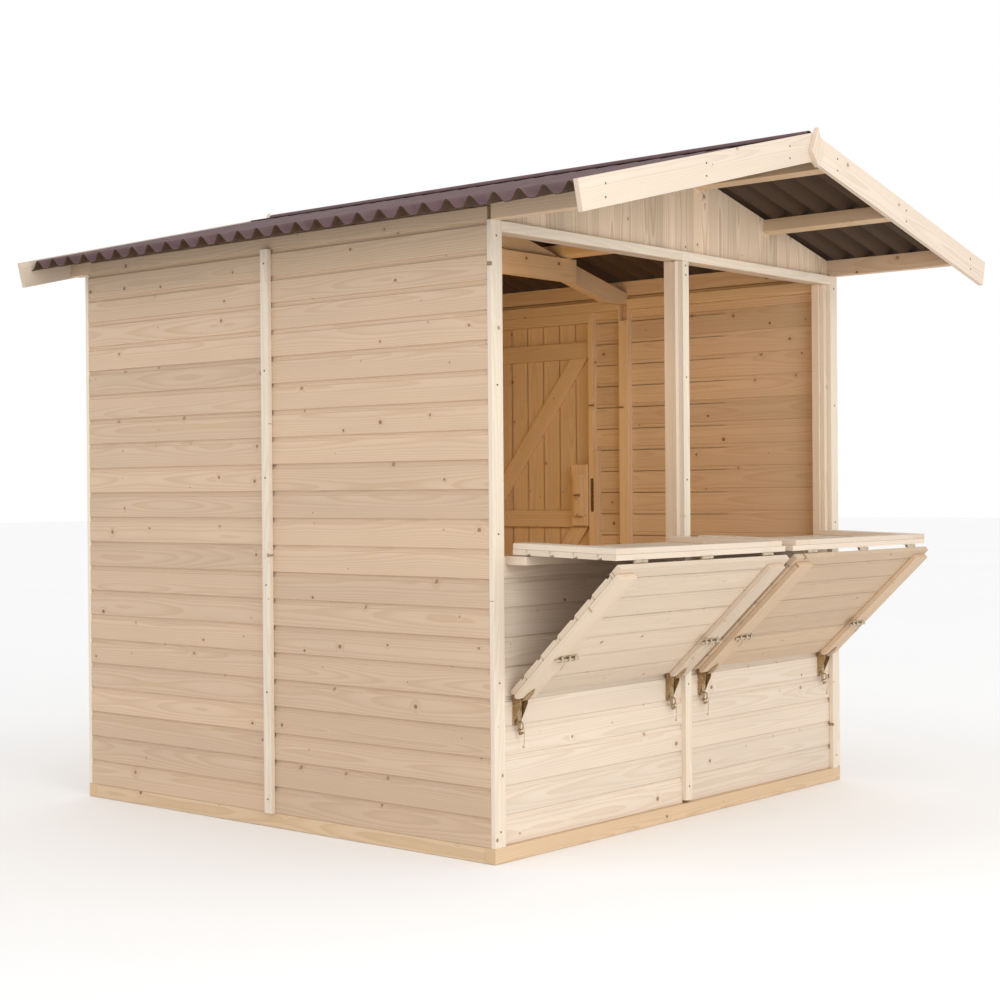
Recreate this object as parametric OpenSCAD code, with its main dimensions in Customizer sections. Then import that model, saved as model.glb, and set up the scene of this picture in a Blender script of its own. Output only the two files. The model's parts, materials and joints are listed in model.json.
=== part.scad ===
// Wooden market stall: a small timber cabin with a sheeted pitched roof, a side
// door and two serving hatches whose leaves fold down into a propped counter.
// Millimetres. +X is right seen from the counter side, the counter faces -Y.
// The origin is the middle of the footprint, on the ground.

/* [Overall] */
// Width of the cabin over its side boards
stall_w = 2130; // [1775:5:2556]
// Length of the cabin over its front and back corner trims
stall_l = 2084; // [2020:4:2500]

/* [Walls] */
// Height that each wall board covers
board_cover = 94; // [80:1:112]
// Number of boards up a side wall
board_rows = 21; // [20:1:24]
// Thickness of the wall boards
board_t = 18; // [15:0.5:21]
// Height of the base rails under the walls
base_h = 50; // [42:1:60]
// Width of the base rails and joists
base_w = 45; // [38:1:54]
// Thickness of the floor boards
floor_t = 18; // [15:1:22]
// Distance from the middle to the outer floor joists
joist_x = 500; // [420:10:600]
// Depth of the wall studs, measured in from the boards
stud_d = 32; // [27:1:38]
// Width of the studs in the side walls
side_stud_w = 25; // [21:1:30]
// Width of the middle posts in the front and back walls
mid_post_w = 40; // [34:1:41]
// Height of the rails along the top and bottom of each wall frame
rail_h = 45; // [38:1:54]
// Drop from the top of the side boards to the top of the side frames
frame_drop = 15; // [12:1:18]
// Place of the joint between the two panels of a side wall
panel_joint_y = -6; // [-40:1:40]

/* [Trims] */
// Width of the corner trims
trim_w = 52; // [44:1:62]
// Thickness of the corner and lintel trims
trim_t = 18; // [15:0.5:21]
// Width of the strips over the panel joints
strip_w = 38; // [32:1:45]
// Rise of the front middle strip over the base rails
strip_rise = 10; // [8:1:12]
// How far the lintel trim hangs below the top of the side boards
lintel_drop = 33; // [28:1:40]
// Gap between the fascia and the front end of the eave beam
fascia_gap = 16; // [13:1:19]
// Height of the fascia on a side wall
fascia_h = 42; // [35:1:46]

/* [Serving hatch] */
// Height of the wall under the hatches
sill_z = 965; // [880:5:1100]
// Width of the posts at the outer side of each hatch
outer_post_w = 34.7; // [29:0.1:41]
// Depth of the counter from its hinge to its outer edge
counter_depth = 414; // [345:1:496]
// Slope of the counter down towards its outer edge, in degrees
counter_fall = 1.7; // [1.5:0.1:2]
// Gap between a leaf and the pieces beside it
leaf_clear = 5; // [5:0.5:8]
// Set-back of the counter's wall edge from its hinge pin
counter_setback = 6; // [5.5:0.5:8]
// Thickness of the end battens on the leaves
batten_t = 18.7; // [15:0.1:18.7]
// Width of the end battens on the leaves
batten_w = 90; // [75:1:105]
// Width of the rail along the outer edge of a counter leaf
counter_rail_w = 45; // [38:1:54]
// Distance from a prop leaf's upper edge to its battens
prop_batten_drop = 22; // [18:1:26]
// Set-back of the inner battens from the middle edge of a leaf
batten_inset = 22; // [18:1:26]
// Gap across the hinge line between the two leaves
leaf_gap = 8; // [8:0.5:11]
// Distance from the wall boards to the lower edge of the prop leaf
prop_stand = 15; // [12.5:0.5:18]
// Height of the rail under the counter
sill_rail_h = 28; // [24:1:34]
// Depth of the rail under the counter
sill_rail_d = 84; // [70:1:100]
// Radius of the hinge knuckles at the wall
wall_knuckle_r = 5; // [4:0.1:5]
// Distance of the hinge pins between the leaves from the faces of their boards
hinge_stand = 5; // [4.2:0.1:6]
// Length of a leaf hinge
leaf_hinge_l = 60; // [50:1:72]
// Distance of the outer leaf hinges from the edges of a leaf
leaf_hinge_inset = 120; // [100:1:144]

/* [Brackets] */
// Distance of the outer brackets from the outer edge of a leaf
bracket_inset = 45; // [38:1:54]
// Distance of the inner brackets from the middle of the stall
bracket_in_x = 100; // [80:1:120]
// Width of a bracket
bracket_w = 34; // [28:1:41]
// Thickness of the bracket's metal
bracket_t = 4; // [3:0.5:5]
// Height of the bracket's lower tip above the ground
bracket_low_z = 395; // [330:5:420]

/* [Door] */
// Place of the door opening's front edge
door_y = 189; // [160:1:230]
// Width of the door opening
door_w = 737; // [614:1:780]
// Height of the top of the door above the ground
door_top_z = 1925; // [1700:5:1925]
// Lap of the door over its posts
door_lap = 12; // [10:1:15]
// Width of the door's ledges and braces
ledge_w = 74; // [62:1:88]
// Thickness of the door's ledges and braces
ledge_t = 18; // [15:1:21]
// Height of the middle ledge's lower edge
mid_ledge_z = 1008; // [840:1:1200]
// Distance from the door's top to its top ledge
ledge_drop = 88; // [74:1:105]
// Lean of the braces from upright
brace_lean = 38; // [32:1:40]
// Distance from the braces' upper end to the ends of the ledges
brace_inset = 18; // [15:1:21]
// Height of the wooden lock block
lock_h = 275; // [230:1:330]
// Width of the wooden lock block
lock_w = 93; // [78:1:110]
// Thickness of the wooden lock block
lock_t = 22; // [18:1:26]
// Rise of the wooden lock block over the middle ledge's lower edge
lock_rise = 6; // [5:0.5:7]
// Height of the raised block on the lock block
bolt_h = 187; // [156:1:224]
// Width of the raised block on the lock block
bolt_w = 46; // [38:1:55]
// Distance from the raised block to the edge of the lock block
bolt_inset = 19; // [16:1:22]
// Height of the rail over the door opening
door_head_h = 45; // [39:1:54]
// Width of the keeper beside the door post
keeper_w = 21; // [18:1:25]
// Height of the keeper's top above the ground
keeper_top_z = 1350; // [1250:5:1500]
// Radius of the door hinge knuckles
door_knuckle_r = 5; // [4:0.5:6]
// Length of the door hinge straps
door_strap_l = 300; // [250:5:360]
// Width of the door hinge straps
strap_w = 30; // [25:1:36]
// Thickness of the door hinges
hinge_t = 3; // [2.5:0.1:3.6]
// Width of the door hinge plates on the wall
hinge_plate_w = 38; // [32:1:45]

/* [Roof] */
// Pitch of the roof in degrees
roof_pitch = 13.85; // [11.6:0.05:16.6]
// Rise from the side boards to the underside of the roof sheets
eave_rise = 51; // [43:1:60]
// Reach of the roof past the side walls
eave_out = 185; // [154:1:222]
// Reach of the roof past the front wall, to the back of the bargeboards
front_out = 511; // [425:1:613]
// Reach of the roof past the back wall, to the back of the bargeboards
back_out = 92; // [77:1:110]
// Height of the corrugated roof sheets
sheet_h = 37; // [31:1:44]
// Width of the ridge cap on each side
cap_w = 130; // [110:1:156]
// Thickness of the ridge cap
cap_t = 4; // [3:0.5:5]
// Distance from the ridge to the upper purlins
ridge_purlin_x = 110; // [92:1:132]
// Distance from the ridge to the middle purlins
mid_purlin_x = 575; // [480:1:690]
// Width of a purlin across the slope
purlin_w = 42; // [35:1:50]
// Depth of a purlin below the sheets
purlin_d = 50; // [42:1:58]
// Width of the eave beams
eave_beam_w = 45; // [38:1:54]
// Width of the bargeboards
barge_w = 95; // [80:1:112]
// Thickness of the bargeboards and finials
barge_t = 18; // [15:1:21]
// Rise of the bargeboards over the underside of the roof sheets
barge_rise = 40; // [34:1:48]
// Reach of the bargeboards past the eave of the sheets
barge_past = 48; // [40:1:58]
// Width of the pointed finial
finial_w = 78; // [65:1:94]
// Height of the pointed finial
finial_h = 135; // [113:1:162]
// Distance from the finial's point down to its widest place
finial_wide_drop = 86; // [72:1:103]
// Height of the finial's point over the bargeboards
finial_over = 16; // [13:1:19]

/* [Truss] */
// Thickness of the rafters
rafter_t = 40; // [34:1:48]
// Depth of the rafters
rafter_d = 82; // [70:1:96]
// Height of the rafter feet below the top of the side boards
foot_drop = 39; // [33:1:46]
// Drop of the post tops below the rafter feet
post_drop = 68; // [57:1:82]
// Thickness of the collar tie
tie_t = 24; // [20:1:29]
// Height of the collar tie
tie_h = 97; // [81:1:116]
// Half the length of the collar tie
tie_x = 633; // [530:1:700]
// Height of the collar tie's lower edge over the side boards
tie_over = 21; // [17:1:21]

/* [Hidden] */

// Clearance between like pieces that share a node
fit = 0.3;
// Running gap round a hinge knuckle or on a rest
run = 0.3;
// Overrun of a cut past what it cuts, and of a hinge pin past an edge
over = 1;
// Fineness of the hinge knuckles
knuckle_fn = 32;

// Main planes of the walls
side_out = stall_w / 2;
side_in = side_out - board_t;
side_stud_in = side_in - stud_d;
trim_out = stall_l / 2;
end_out = trim_out - trim_t;
end_in = end_out - board_t;
end_stud_in = end_in - stud_d;
wall_top = base_h + board_rows * board_cover;
frame_top = wall_top - frame_drop;
floor_top = base_h + floor_t;

// Roof planes
pitch_tan = tan(roof_pitch);
pitch_cos = cos(roof_pitch);
apex_z = wall_top + eave_rise + side_out * pitch_tan;
sheet_x = side_out + eave_out;
front_barge_y = -trim_out - front_out;
back_barge_y = trim_out + back_out;
rafter_top_drop = (purlin_d + run) / pitch_cos;
rafter_depth_z = rafter_d / pitch_cos;
foot_z = wall_top - foot_drop;
post_top_z = foot_z - post_drop;

// Serving hatches and their leaves
lintel_z = wall_top - lintel_drop;
hatch_x0 = mid_post_w;
hatch_x1 = side_stud_in - fit - outer_post_w;
leaf_x0 = strip_w / 2 + leaf_clear;
leaf_x1 = hatch_x1 + leaf_clear;
leaf_t = board_t + batten_t;
counter_pin_z = sill_z + leaf_clear + over;
counter_pin_y = -end_in - leaf_clear - leaf_t - run;
prop_pin_s = counter_depth + leaf_gap / 2;
prop_pin_y = counter_pin_y - prop_pin_s * cos(counter_fall) + hinge_stand * sin(counter_fall);
prop_pin_z = counter_pin_z - prop_pin_s * sin(counter_fall) - hinge_stand * cos(counter_fall);
leaf_knuckle_r = norm([leaf_gap / 2, hinge_stand]) - fit;
prop_l = lintel_z - leaf_clear - over - counter_pin_z - counter_depth - leaf_gap;
prop_end = leaf_gap / 2 + prop_l;
prop_lean = asin((-end_out - prop_stand - prop_pin_y) / norm([prop_end, hinge_stand]))
    + atan(hinge_stand / prop_end);
sill_rail_top = counter_pin_z - wall_knuckle_r - run;
leaf_hinge_x = [
    leaf_x0 + leaf_hinge_inset, (leaf_x0 + leaf_x1) / 2, leaf_x1 - leaf_hinge_inset
];
bracket_out_x = leaf_x1 - bracket_inset;

// Door
door_hinge_y = door_y + door_w;
door_in = side_in + leaf_clear + run;
door_out = door_in + board_t;
door_low_z = base_h + leaf_clear + over;
leaf_y0 = door_y - door_lap;
leaf_y1 = door_hinge_y + door_lap;
ledge_y0 = door_y + leaf_clear;
ledge_y1 = door_hinge_y - leaf_clear;
ledge_in = door_in - run - ledge_t;
top_ledge_z = door_top_z - ledge_drop - ledge_w;
low_ledge_z = floor_top + ledge_drop;
door_pin_x = door_out + door_knuckle_r;
door_pin_y = leaf_y1 + leaf_clear;
door_hinge_z = [low_ledge_z + ledge_w / 2, mid_ledge_z + ledge_w / 2, top_ledge_z + ledge_w / 2];
lock_z = mid_ledge_z + lock_rise;

WOOD = [0.88, 0.76, 0.60];
PALE = [0.93, 0.85, 0.73];
INNER = [0.72, 0.54, 0.36];
SHEET = [0.24, 0.15, 0.15];
METAL = [0.62, 0.52, 0.36];

// Height of the underside of the roof sheets at a distance from the middle
function roof_z(x) = apex_z - abs(x) * pitch_tan;

// A straight timber given by its low and high value along each axis
module timber(x, y, z) {
    translate([x[0], y[0], z[0]]) cube([x[1] - x[0], y[1] - y[0], z[1] - z[0]]);
}

// The children and their mirror image across the middle of the stall
module both_sides() {
    children();
    mirror([1, 0, 0]) children();
}

// The children and their mirror image between front and back
module both_ends() {
    children();
    mirror([0, 1, 0]) children();
}

// An outline in X and Z, run along Y from y0 to y1
module along_y(y0, y1) {
    translate([0, y1, 0]) rotate([90, 0, 0]) linear_extrude(y1 - y0) children();
}

// An outline in Y and Z, run along X from x0 to x1
module along_x(x0, x1) {
    translate([x0, 0, 0]) rotate([90, 0, 90]) linear_extrude(x1 - x0) children();
}

// ---- base and floor ----

module base_rails() {
    color(WOOD) {
        both_ends() timber([-side_out, side_out], [-trim_out, -trim_out + base_w], [0, base_h]);
        both_sides() timber(
            [side_out - base_w, side_out],
            [-trim_out + base_w + fit, trim_out - base_w - fit], [0, base_h]);
    }
}

module floor_joists() {
    color(WOOD) for (x = [-joist_x, 0, joist_x])
        timber([x - base_w / 2, x + base_w / 2],
            [-trim_out + base_w + fit, trim_out - base_w - fit], [0, base_h]);
}

module floor_boards() {
    color(INNER) timber([-side_stud_in, side_stud_in], [-end_stud_in, end_stud_in],
        [base_h, floor_top]);
}

// ---- wall boards ----

// Boards of a side wall between two places, on the right side
module side_boards(y0, y1, z0, z1) {
    timber([side_in, side_out], [y0, y1], [z0, z1]);
}

module left_wall_front_panel() {
    color(WOOD) mirror([1, 0, 0]) side_boards(-end_out, panel_joint_y - fit / 2, base_h, wall_top);
}

module left_wall_rear_panel() {
    color(WOOD) mirror([1, 0, 0]) side_boards(panel_joint_y + fit / 2, end_out, base_h, wall_top);
}

module right_wall_front_panel() {
    color(WOOD) side_boards(-end_out, panel_joint_y - fit / 2, base_h, wall_top);
}

module right_wall_beside_door() {
    color(WOOD) {
        side_boards(panel_joint_y + fit / 2, leaf_y0 - leaf_clear, base_h, wall_top);
        side_boards(leaf_y1 + leaf_clear, end_out, base_h, wall_top);
    }
}

module right_wall_over_door() {
    color(WOOD) side_boards(leaf_y0 - leaf_clear + fit, leaf_y1 + leaf_clear - fit,
        door_top_z + leaf_clear, wall_top);
}

// Half of the low front wall, on the right side
module front_boards() {
    timber([strip_w / 2 + fit, side_in - fit], [-end_out, -end_in], [base_h, sill_z]);
}

module front_wall_left_panel() {
    color(PALE) mirror([1, 0, 0]) front_boards();
}

module front_wall_right_panel() {
    color(PALE) front_boards();
}

// Half of the back wall, on the right side
module back_boards() {
    timber([fit / 2, side_in - fit], [end_in, end_out], [base_h, wall_top]);
}

module back_wall_left_panel() {
    color(WOOD) mirror([1, 0, 0]) back_boards();
}

module back_wall_right_panel() {
    color(WOOD) back_boards();
}

// Upright boards under the roof, notched round the purlins
module gable(low_z) {
    half = side_out - eave_beam_w - fit;
    difference() {
        polygon([
            [-half, low_z], [half, low_z], [half, roof_z(half) - fit],
            [0, apex_z - fit], [-half, roof_z(half) - fit]
        ]);
        for (x = [ridge_purlin_x, mid_purlin_x], side = [-1, 1])
            purlin_outline(side * x, fit, 4 * fit);
    }
}

module front_gable() {
    color(PALE) along_y(-end_out, -end_in) gable(lintel_z);
}

module back_gable() {
    color(WOOD) along_y(end_in, end_out) gable(wall_top + fit);
}

// ---- wall frames ----

// A side wall's frame on the right side, with or without its rear bottom rail
module side_frame(rear_bottom) {
    x = [side_stud_in, side_in];
    ends = end_in - fit;
    joint = [panel_joint_y - fit / 2, panel_joint_y + fit / 2];
    difference() {
        union() {
            timber(x, [-ends, -ends + side_stud_w], [base_h, frame_top]);
            timber(x, [joint[0] - side_stud_w, joint[0]], [base_h, frame_top]);
            timber(x, [joint[1], joint[1] + side_stud_w], [base_h, frame_top]);
            timber(x, [ends - side_stud_w, ends], [base_h, frame_top]);
            for (z = [base_h, frame_top - rail_h])
                timber(x, [-ends + side_stud_w + fit, joint[0] - side_stud_w - fit],
                    [z, z + rail_h]);
            timber(x, [joint[1] + side_stud_w + fit, ends - side_stud_w - fit],
                [frame_top - rail_h, frame_top]);
            if (rear_bottom)
                timber(x, [joint[1] + side_stud_w + fit, ends - side_stud_w - fit],
                    [base_h, base_h + rail_h]);
        }
        timber([side_stud_in - over, side_in + over],
            [panel_joint_y - rafter_t / 2 - fit, panel_joint_y + rafter_t / 2 + fit],
            [post_top_z, wall_top]);
    }
}

module left_wall_frame() {
    color(INNER) mirror([1, 0, 0]) side_frame(true);
}

module right_wall_frame() {
    x = [side_stud_in, side_in];
    head_z = frame_top - rail_h - fit;
    color(INNER) {
        side_frame(false);
        // door posts, head, threshold and keeper
        timber(x, [door_y - side_stud_w, door_y], [base_h, head_z]);
        timber(x, [door_hinge_y, door_hinge_y + side_stud_w], [base_h, head_z]);
        timber(x, [door_y + fit, door_hinge_y - fit], [head_z - door_head_h, head_z]);
        timber(x, [door_y + fit, door_hinge_y - fit], [base_h, floor_top]);
        timber(x, [door_y - side_stud_w - fit - keeper_w, door_y - side_stud_w - fit],
            [keeper_top_z - 2 * lock_h, keeper_top_z]);
    }
}

// Posts and bottom rails of the front or back wall, on the front side
module end_frame(post_top) {
    y = [-end_in, -end_stud_in];
    both_sides() {
        timber([fit / 2, hatch_x0], y, [base_h, post_top]);
        timber([hatch_x1, hatch_x1 + outer_post_w], y, [base_h, post_top]);
        timber([hatch_x0 + fit, hatch_x1 - fit], y, [base_h, base_h + rail_h]);
    }
}

module front_wall_frame() {
    y = [-end_in, -end_stud_in];
    color(PALE) {
        end_frame(lintel_z - fit);
        both_sides() {
            timber([hatch_x0 + fit, hatch_x1 - fit], y, [sill_z - rail_h, sill_z]);
            // facings that bring the posts level with the wall boards
            for (x = [[strip_w / 2 + fit, hatch_x0], [leaf_x1 + leaf_clear, side_in - fit]])
                timber(x, [-end_out, -end_in - fit], [sill_z + fit, lintel_z - fit]);
        }
        timber([-side_stud_in + fit, side_stud_in - fit], y, [lintel_z, lintel_z + rail_h]);
    }
}

module back_wall_frame() {
    color(INNER) mirror([0, 1, 0]) {
        end_frame(lintel_z - fit);
        timber([-side_stud_in + fit, side_stud_in - fit], [-end_in, -end_stud_in],
            [lintel_z, lintel_z + rail_h]);
    }
}

// ---- trims and strips ----

module corner_trims() {
    color(PALE) both_ends() both_sides()
        timber([side_out - trim_w, side_out], [-trim_out, -end_out], [base_h, wall_top]);
}

module lintel_trims() {
    color(PALE) both_sides() timber([strip_w / 2 + fit, side_out - trim_w - fit],
        [-trim_out, -end_out], [lintel_z, wall_top]);
}

module cover_strips() {
    color(PALE) {
        // front middle strip, standing on the middle posts
        timber([-strip_w / 2, strip_w / 2], [-trim_out, -end_in], [base_h + strip_rise, lintel_z - fit]);
        timber([-strip_w / 2, strip_w / 2], [-trim_out, -end_out], [lintel_z, wall_top]);
        // back middle strip and the strips over the side wall joints
        timber([-strip_w / 2, strip_w / 2], [end_out, trim_out], [base_h, wall_top]);
        both_sides() timber([side_out, side_out + trim_t],
            [panel_joint_y - strip_w / 2, panel_joint_y + strip_w / 2], [base_h, wall_top]);
    }
}

module side_fascias() {
    color(WOOD) both_sides() timber([side_in + fit, side_out],
        [-trim_out + fascia_gap, end_in], [wall_top + fit, wall_top + fascia_h]);
}

module sill_rails() {
    color(PALE) both_sides() timber([leaf_x0, leaf_x1], [-end_out - sill_rail_d, -end_out],
        [sill_rail_top - sill_rail_h, sill_rail_top]);
}

// ---- roof timbers ----

// Outline of a purlin laid square to the slope, grown by side and below
module purlin_outline(x, side, below) {
    lean = x > 0 ? -roof_pitch : roof_pitch;
    translate([x, roof_z(x)]) rotate([0, 0, lean])
        translate([-purlin_w / 2 - side, -purlin_d - below])
            square([purlin_w + 2 * side, purlin_d + 20 * side + below]);
}

// Two purlins on each slope
module purlins() {
    color(INNER) both_sides() for (x = [ridge_purlin_x, mid_purlin_x])
        along_y(front_barge_y + fit, back_barge_y - fit) translate([x, roof_z(x)])
            rotate([0, 0, -roof_pitch]) translate([-purlin_w / 2, -purlin_d])
                square([purlin_w, purlin_d]);
}

// Outline of an eave beam whose top follows the roof
module eave_outline(x_out) {
    x_in = side_out - eave_beam_w;
    polygon([
        [x_in, wall_top], [x_out, wall_top], [x_out, roof_z(x_out)], [x_in, roof_z(x_in)]
    ]);
}

module eave_beams() {
    color(WOOD) both_sides() {
        along_y(front_barge_y + fit, back_barge_y - fit) eave_outline(side_in);
        along_y(front_barge_y + fit, -trim_out) eave_outline(side_out);
        along_y(end_in + fit, back_barge_y - fit) eave_outline(side_out);
    }
}

module rafters() {
    top_z = apex_z - rafter_top_drop;
    x_out = side_in - fit;
    x_foot = (top_z - rafter_depth_z - foot_z) / pitch_tan;
    color(INNER) both_sides()
        along_y(panel_joint_y - rafter_t / 2, panel_joint_y + rafter_t / 2) difference() {
            polygon([
                [fit / 2, top_z - rafter_depth_z], [x_foot, foot_z], [x_out, foot_z],
                [x_out, top_z - x_out * pitch_tan], [fit / 2, top_z]
            ]);
            translate([side_out - eave_beam_w - fit, wall_top - fit])
                square([eave_beam_w, 2 * eave_rise]);
        }
}

module collar_tie() {
    y1 = panel_joint_y - rafter_t / 2;
    color(INNER) timber([-tie_x, tie_x], [y1 - tie_t, y1],
        [wall_top + tie_over, wall_top + tie_over + tie_h]);
}

// ---- roof covering ----

// Half of the roof sheets, on the right side
module roof_sheet() {
    along_y(front_barge_y + fit, back_barge_y - fit) polygon([
        [fit / 2, apex_z], [sheet_x, roof_z(sheet_x)],
        [sheet_x, roof_z(sheet_x) + sheet_h], [fit / 2, apex_z + sheet_h]
    ]);
}

module roof_sheet_left() {
    color(SHEET) mirror([1, 0, 0]) roof_sheet();
}

module roof_sheet_right() {
    color(SHEET) roof_sheet();
}

module ridge_cap() {
    low = apex_z + sheet_h + fit;
    drop = cap_w * pitch_tan;
    color(SHEET) along_y(front_barge_y + fit, back_barge_y - fit) polygon([
        [0, low], [cap_w, low - drop], [cap_w, low - drop + cap_t],
        [0, low + cap_t], [-cap_w, low - drop + cap_t], [-cap_w, low - drop]
    ]);
}

// Outline of the right bargeboard, cut plumb at the ridge and square at its foot
module barge_outline() {
    top_z = apex_z + barge_rise;
    x_end = sheet_x + barge_past;
    depth_z = barge_w / pitch_cos;
    foot = [x_end - barge_w * sin(roof_pitch), top_z - x_end * pitch_tan - barge_w * pitch_cos];
    polygon([
        [fit / 2, top_z - depth_z], foot, [x_end, top_z - x_end * pitch_tan], [fit / 2, top_z]
    ]);
}

module front_bargeboards() {
    color(PALE) both_sides() along_y(front_barge_y - barge_t, front_barge_y) barge_outline();
}

module back_bargeboards() {
    color(PALE) both_sides() along_y(back_barge_y, back_barge_y + barge_t) barge_outline();
}

// A pointed plate over the joint of the bargeboards
module finial_outline() {
    tip_z = apex_z + barge_rise + finial_over;
    wide_z = tip_z - finial_wide_drop;
    polygon([
        [0, tip_z], [-finial_w / 2, wide_z], [0, tip_z - finial_h], [finial_w / 2, wide_z]
    ]);
}

module finials() {
    color(PALE) {
        along_y(front_barge_y - 2 * barge_t, front_barge_y - barge_t) finial_outline();
        along_y(back_barge_y + barge_t, back_barge_y + 2 * barge_t) finial_outline();
    }
}

// ---- serving leaves, right side, as they stand in use ----

// A leaf of boards with an end batten on each side, from distance s0 to s1
// along it, drawn from its hinge pin with its profiled face down
module leaf(s0, s1, batten_drop) {
    timber([leaf_x0, leaf_x1], [-s1, -s0], [0, board_t]);
    for (x = [leaf_x0 + batten_inset, leaf_x1 - batten_w])
        timber([x, x + batten_w], [-s1, -s0 - batten_drop], [board_t + fit, leaf_t]);
}

module counter_leaf() {
    translate([0, counter_pin_y, counter_pin_z]) rotate([counter_fall, 0, 0]) {
        leaf(counter_setback, counter_depth, 0);
        timber([leaf_x0 + batten_inset + batten_w + fit, leaf_x1 - batten_w - fit],
            [-counter_depth, -counter_depth + counter_rail_w], [board_t + fit, leaf_t]);
    }
}

module prop_leaf() {
    translate([0, prop_pin_y, prop_pin_z]) rotate([90 + prop_lean, 0, 0])
        translate([0, 0, hinge_stand]) leaf(leaf_gap / 2, prop_end, prop_batten_drop);
}

module counter_leaf_left() {
    color(PALE) mirror([1, 0, 0]) counter_leaf();
}

module counter_leaf_right() {
    color(PALE) counter_leaf();
}

module prop_leaf_left() {
    color(PALE) mirror([1, 0, 0]) prop_leaf();
}

module prop_leaf_right() {
    color(PALE) prop_leaf();
}

// Knuckles of the hinges at the wall and between the leaves
module leaf_hinges() {
    for (x = leaf_hinge_x) {
        translate([x - leaf_hinge_l / 2, counter_pin_y, counter_pin_z]) rotate([0, 90, 0])
            cylinder(r = wall_knuckle_r, h = leaf_hinge_l, $fn = knuckle_fn);
        translate([x - leaf_hinge_l / 2, prop_pin_y, prop_pin_z]) rotate([0, 90, 0])
            cylinder(r = leaf_knuckle_r, h = leaf_hinge_l, $fn = knuckle_fn);
    }
}

module leaf_hinges_left() {
    color(METAL) mirror([1, 0, 0]) leaf_hinges();
}

module leaf_hinges_right() {
    color(METAL) leaf_hinges();
}

// A tapered wall plate whose upper part slopes out under the leaf's lower edge
module bracket() {
    up = [cos(prop_lean), sin(prop_lean)];
    along = [sin(prop_lean), -cos(prop_lean)];
    rest = [prop_pin_y, prop_pin_z] + (prop_end + run) * along - hinge_stand * up;
    wall_y = -end_out;
    reach = (wall_y - rest[0]) / up[0];
    outer = rest - (leaf_t - bracket_t) * up;
    upper = rest + reach * up;
    along_x(-bracket_w / 2, bracket_w / 2) polygon([
        outer, upper, [wall_y, upper[1] - 2 * bracket_t],
        [wall_y - bracket_t, upper[1] - 2 * bracket_t], outer + bracket_t * along
    ]);
    along_y(wall_y - bracket_t, wall_y) polygon([
        [-bracket_w / 2, upper[1] - 2 * bracket_t], [bracket_w / 2, upper[1] - 2 * bracket_t],
        [bracket_w / 4, bracket_low_z], [-bracket_w / 4, bracket_low_z]
    ]);
}

module leaf_brackets() {
    color(METAL) both_sides() for (x = [bracket_in_x, bracket_out_x])
        translate([x, 0, 0]) bracket();
}

// ---- door in the right wall ----

module door_leaf() {
    color(INNER) timber([door_in, door_out], [leaf_y0, leaf_y1], [door_low_z, door_top_z]);
}

// Outline of a brace between two ledges, leaning from the lock side down to the hinges
module brace_outline(low_z, high_z) {
    slope = tan(brace_lean);
    across = ledge_w / cos(brace_lean);
    y_top = ledge_y0 + brace_inset;
    y_low = y_top + (high_z - low_z) * slope;
    intersection() {
        polygon([
            [y_top, high_z], [y_top + across, high_z], [y_low + across, low_z], [y_low, low_z]
        ]);
        translate([ledge_y0, low_z]) square([ledge_y1 - ledge_y0, high_z - low_z]);
    }
}

module door_battens() {
    x = [ledge_in, door_in - run];
    color(INNER) {
        for (z = [low_ledge_z, mid_ledge_z, top_ledge_z])
            timber(x, [ledge_y0, ledge_y1], [z, z + ledge_w]);
        along_x(x[0], x[1]) brace_outline(mid_ledge_z + ledge_w + fit, top_ledge_z - fit);
        along_x(x[0], x[1]) brace_outline(low_ledge_z + ledge_w + fit, mid_ledge_z - fit);
    }
}

module door_lock() {
    x = ledge_in - fit;
    color(INNER) {
        timber([x - lock_t, x], [ledge_y0, ledge_y0 + lock_w], [lock_z, lock_z + lock_h]);
        timber([x - 2 * lock_t, x - lock_t - fit], [ledge_y0 + bolt_inset, ledge_y0 + bolt_inset + bolt_w],
            [lock_z + (lock_h - bolt_h) / 2, lock_z + (lock_h + bolt_h) / 2]);
    }
}

module door_hinges() {
    color(METAL) for (z = door_hinge_z) {
        translate([door_pin_x, door_pin_y, z - ledge_w / 2])
            cylinder(r = door_knuckle_r, h = ledge_w, $fn = knuckle_fn);
        timber([door_out + fit, door_out + fit + hinge_t],
            [leaf_y1 - door_strap_l, door_pin_y - over], [z - strap_w / 2, z + strap_w / 2]);
    }
}

// Cranked wall plates that carry the door's hinge knuckles
module door_hinge_plates() {
    y0 = door_pin_y + door_knuckle_r + run;
    color(METAL) for (z = door_hinge_z) translate([0, 0, z - ledge_w / 2])
        linear_extrude(ledge_w) polygon([
            [side_out, y0], [door_pin_x, y0], [door_pin_x, y0 + hinge_t],
            [side_out + hinge_t, y0 + 2 * hinge_t], [side_out + hinge_t, y0 + hinge_plate_w],
            [side_out, y0 + hinge_plate_w]
        ]);
}

base_rails();
floor_joists();
floor_boards();
left_wall_front_panel();
left_wall_rear_panel();
right_wall_front_panel();
right_wall_beside_door();
right_wall_over_door();
front_wall_left_panel();
front_wall_right_panel();
back_wall_left_panel();
back_wall_right_panel();
front_gable();
back_gable();
left_wall_frame();
right_wall_frame();
front_wall_frame();
back_wall_frame();
corner_trims();
lintel_trims();
cover_strips();
side_fascias();
sill_rails();
purlins();
eave_beams();
rafters();
collar_tie();
roof_sheet_left();
roof_sheet_right();
ridge_cap();
front_bargeboards();
back_bargeboards();
finials();
leaf_brackets();
counter_leaf_left();
counter_leaf_right();
prop_leaf_left();
prop_leaf_right();
leaf_hinges_left();
leaf_hinges_right();
door_leaf();
door_battens();
door_lock();
door_hinges();
door_hinge_plates();
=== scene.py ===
"""A wooden market stall: the looks of its boards, roof, serving leaves and door.

Metres. The frame gives every place, and each piece is modelled where it stands.
"""
import json
import math
import random

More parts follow.
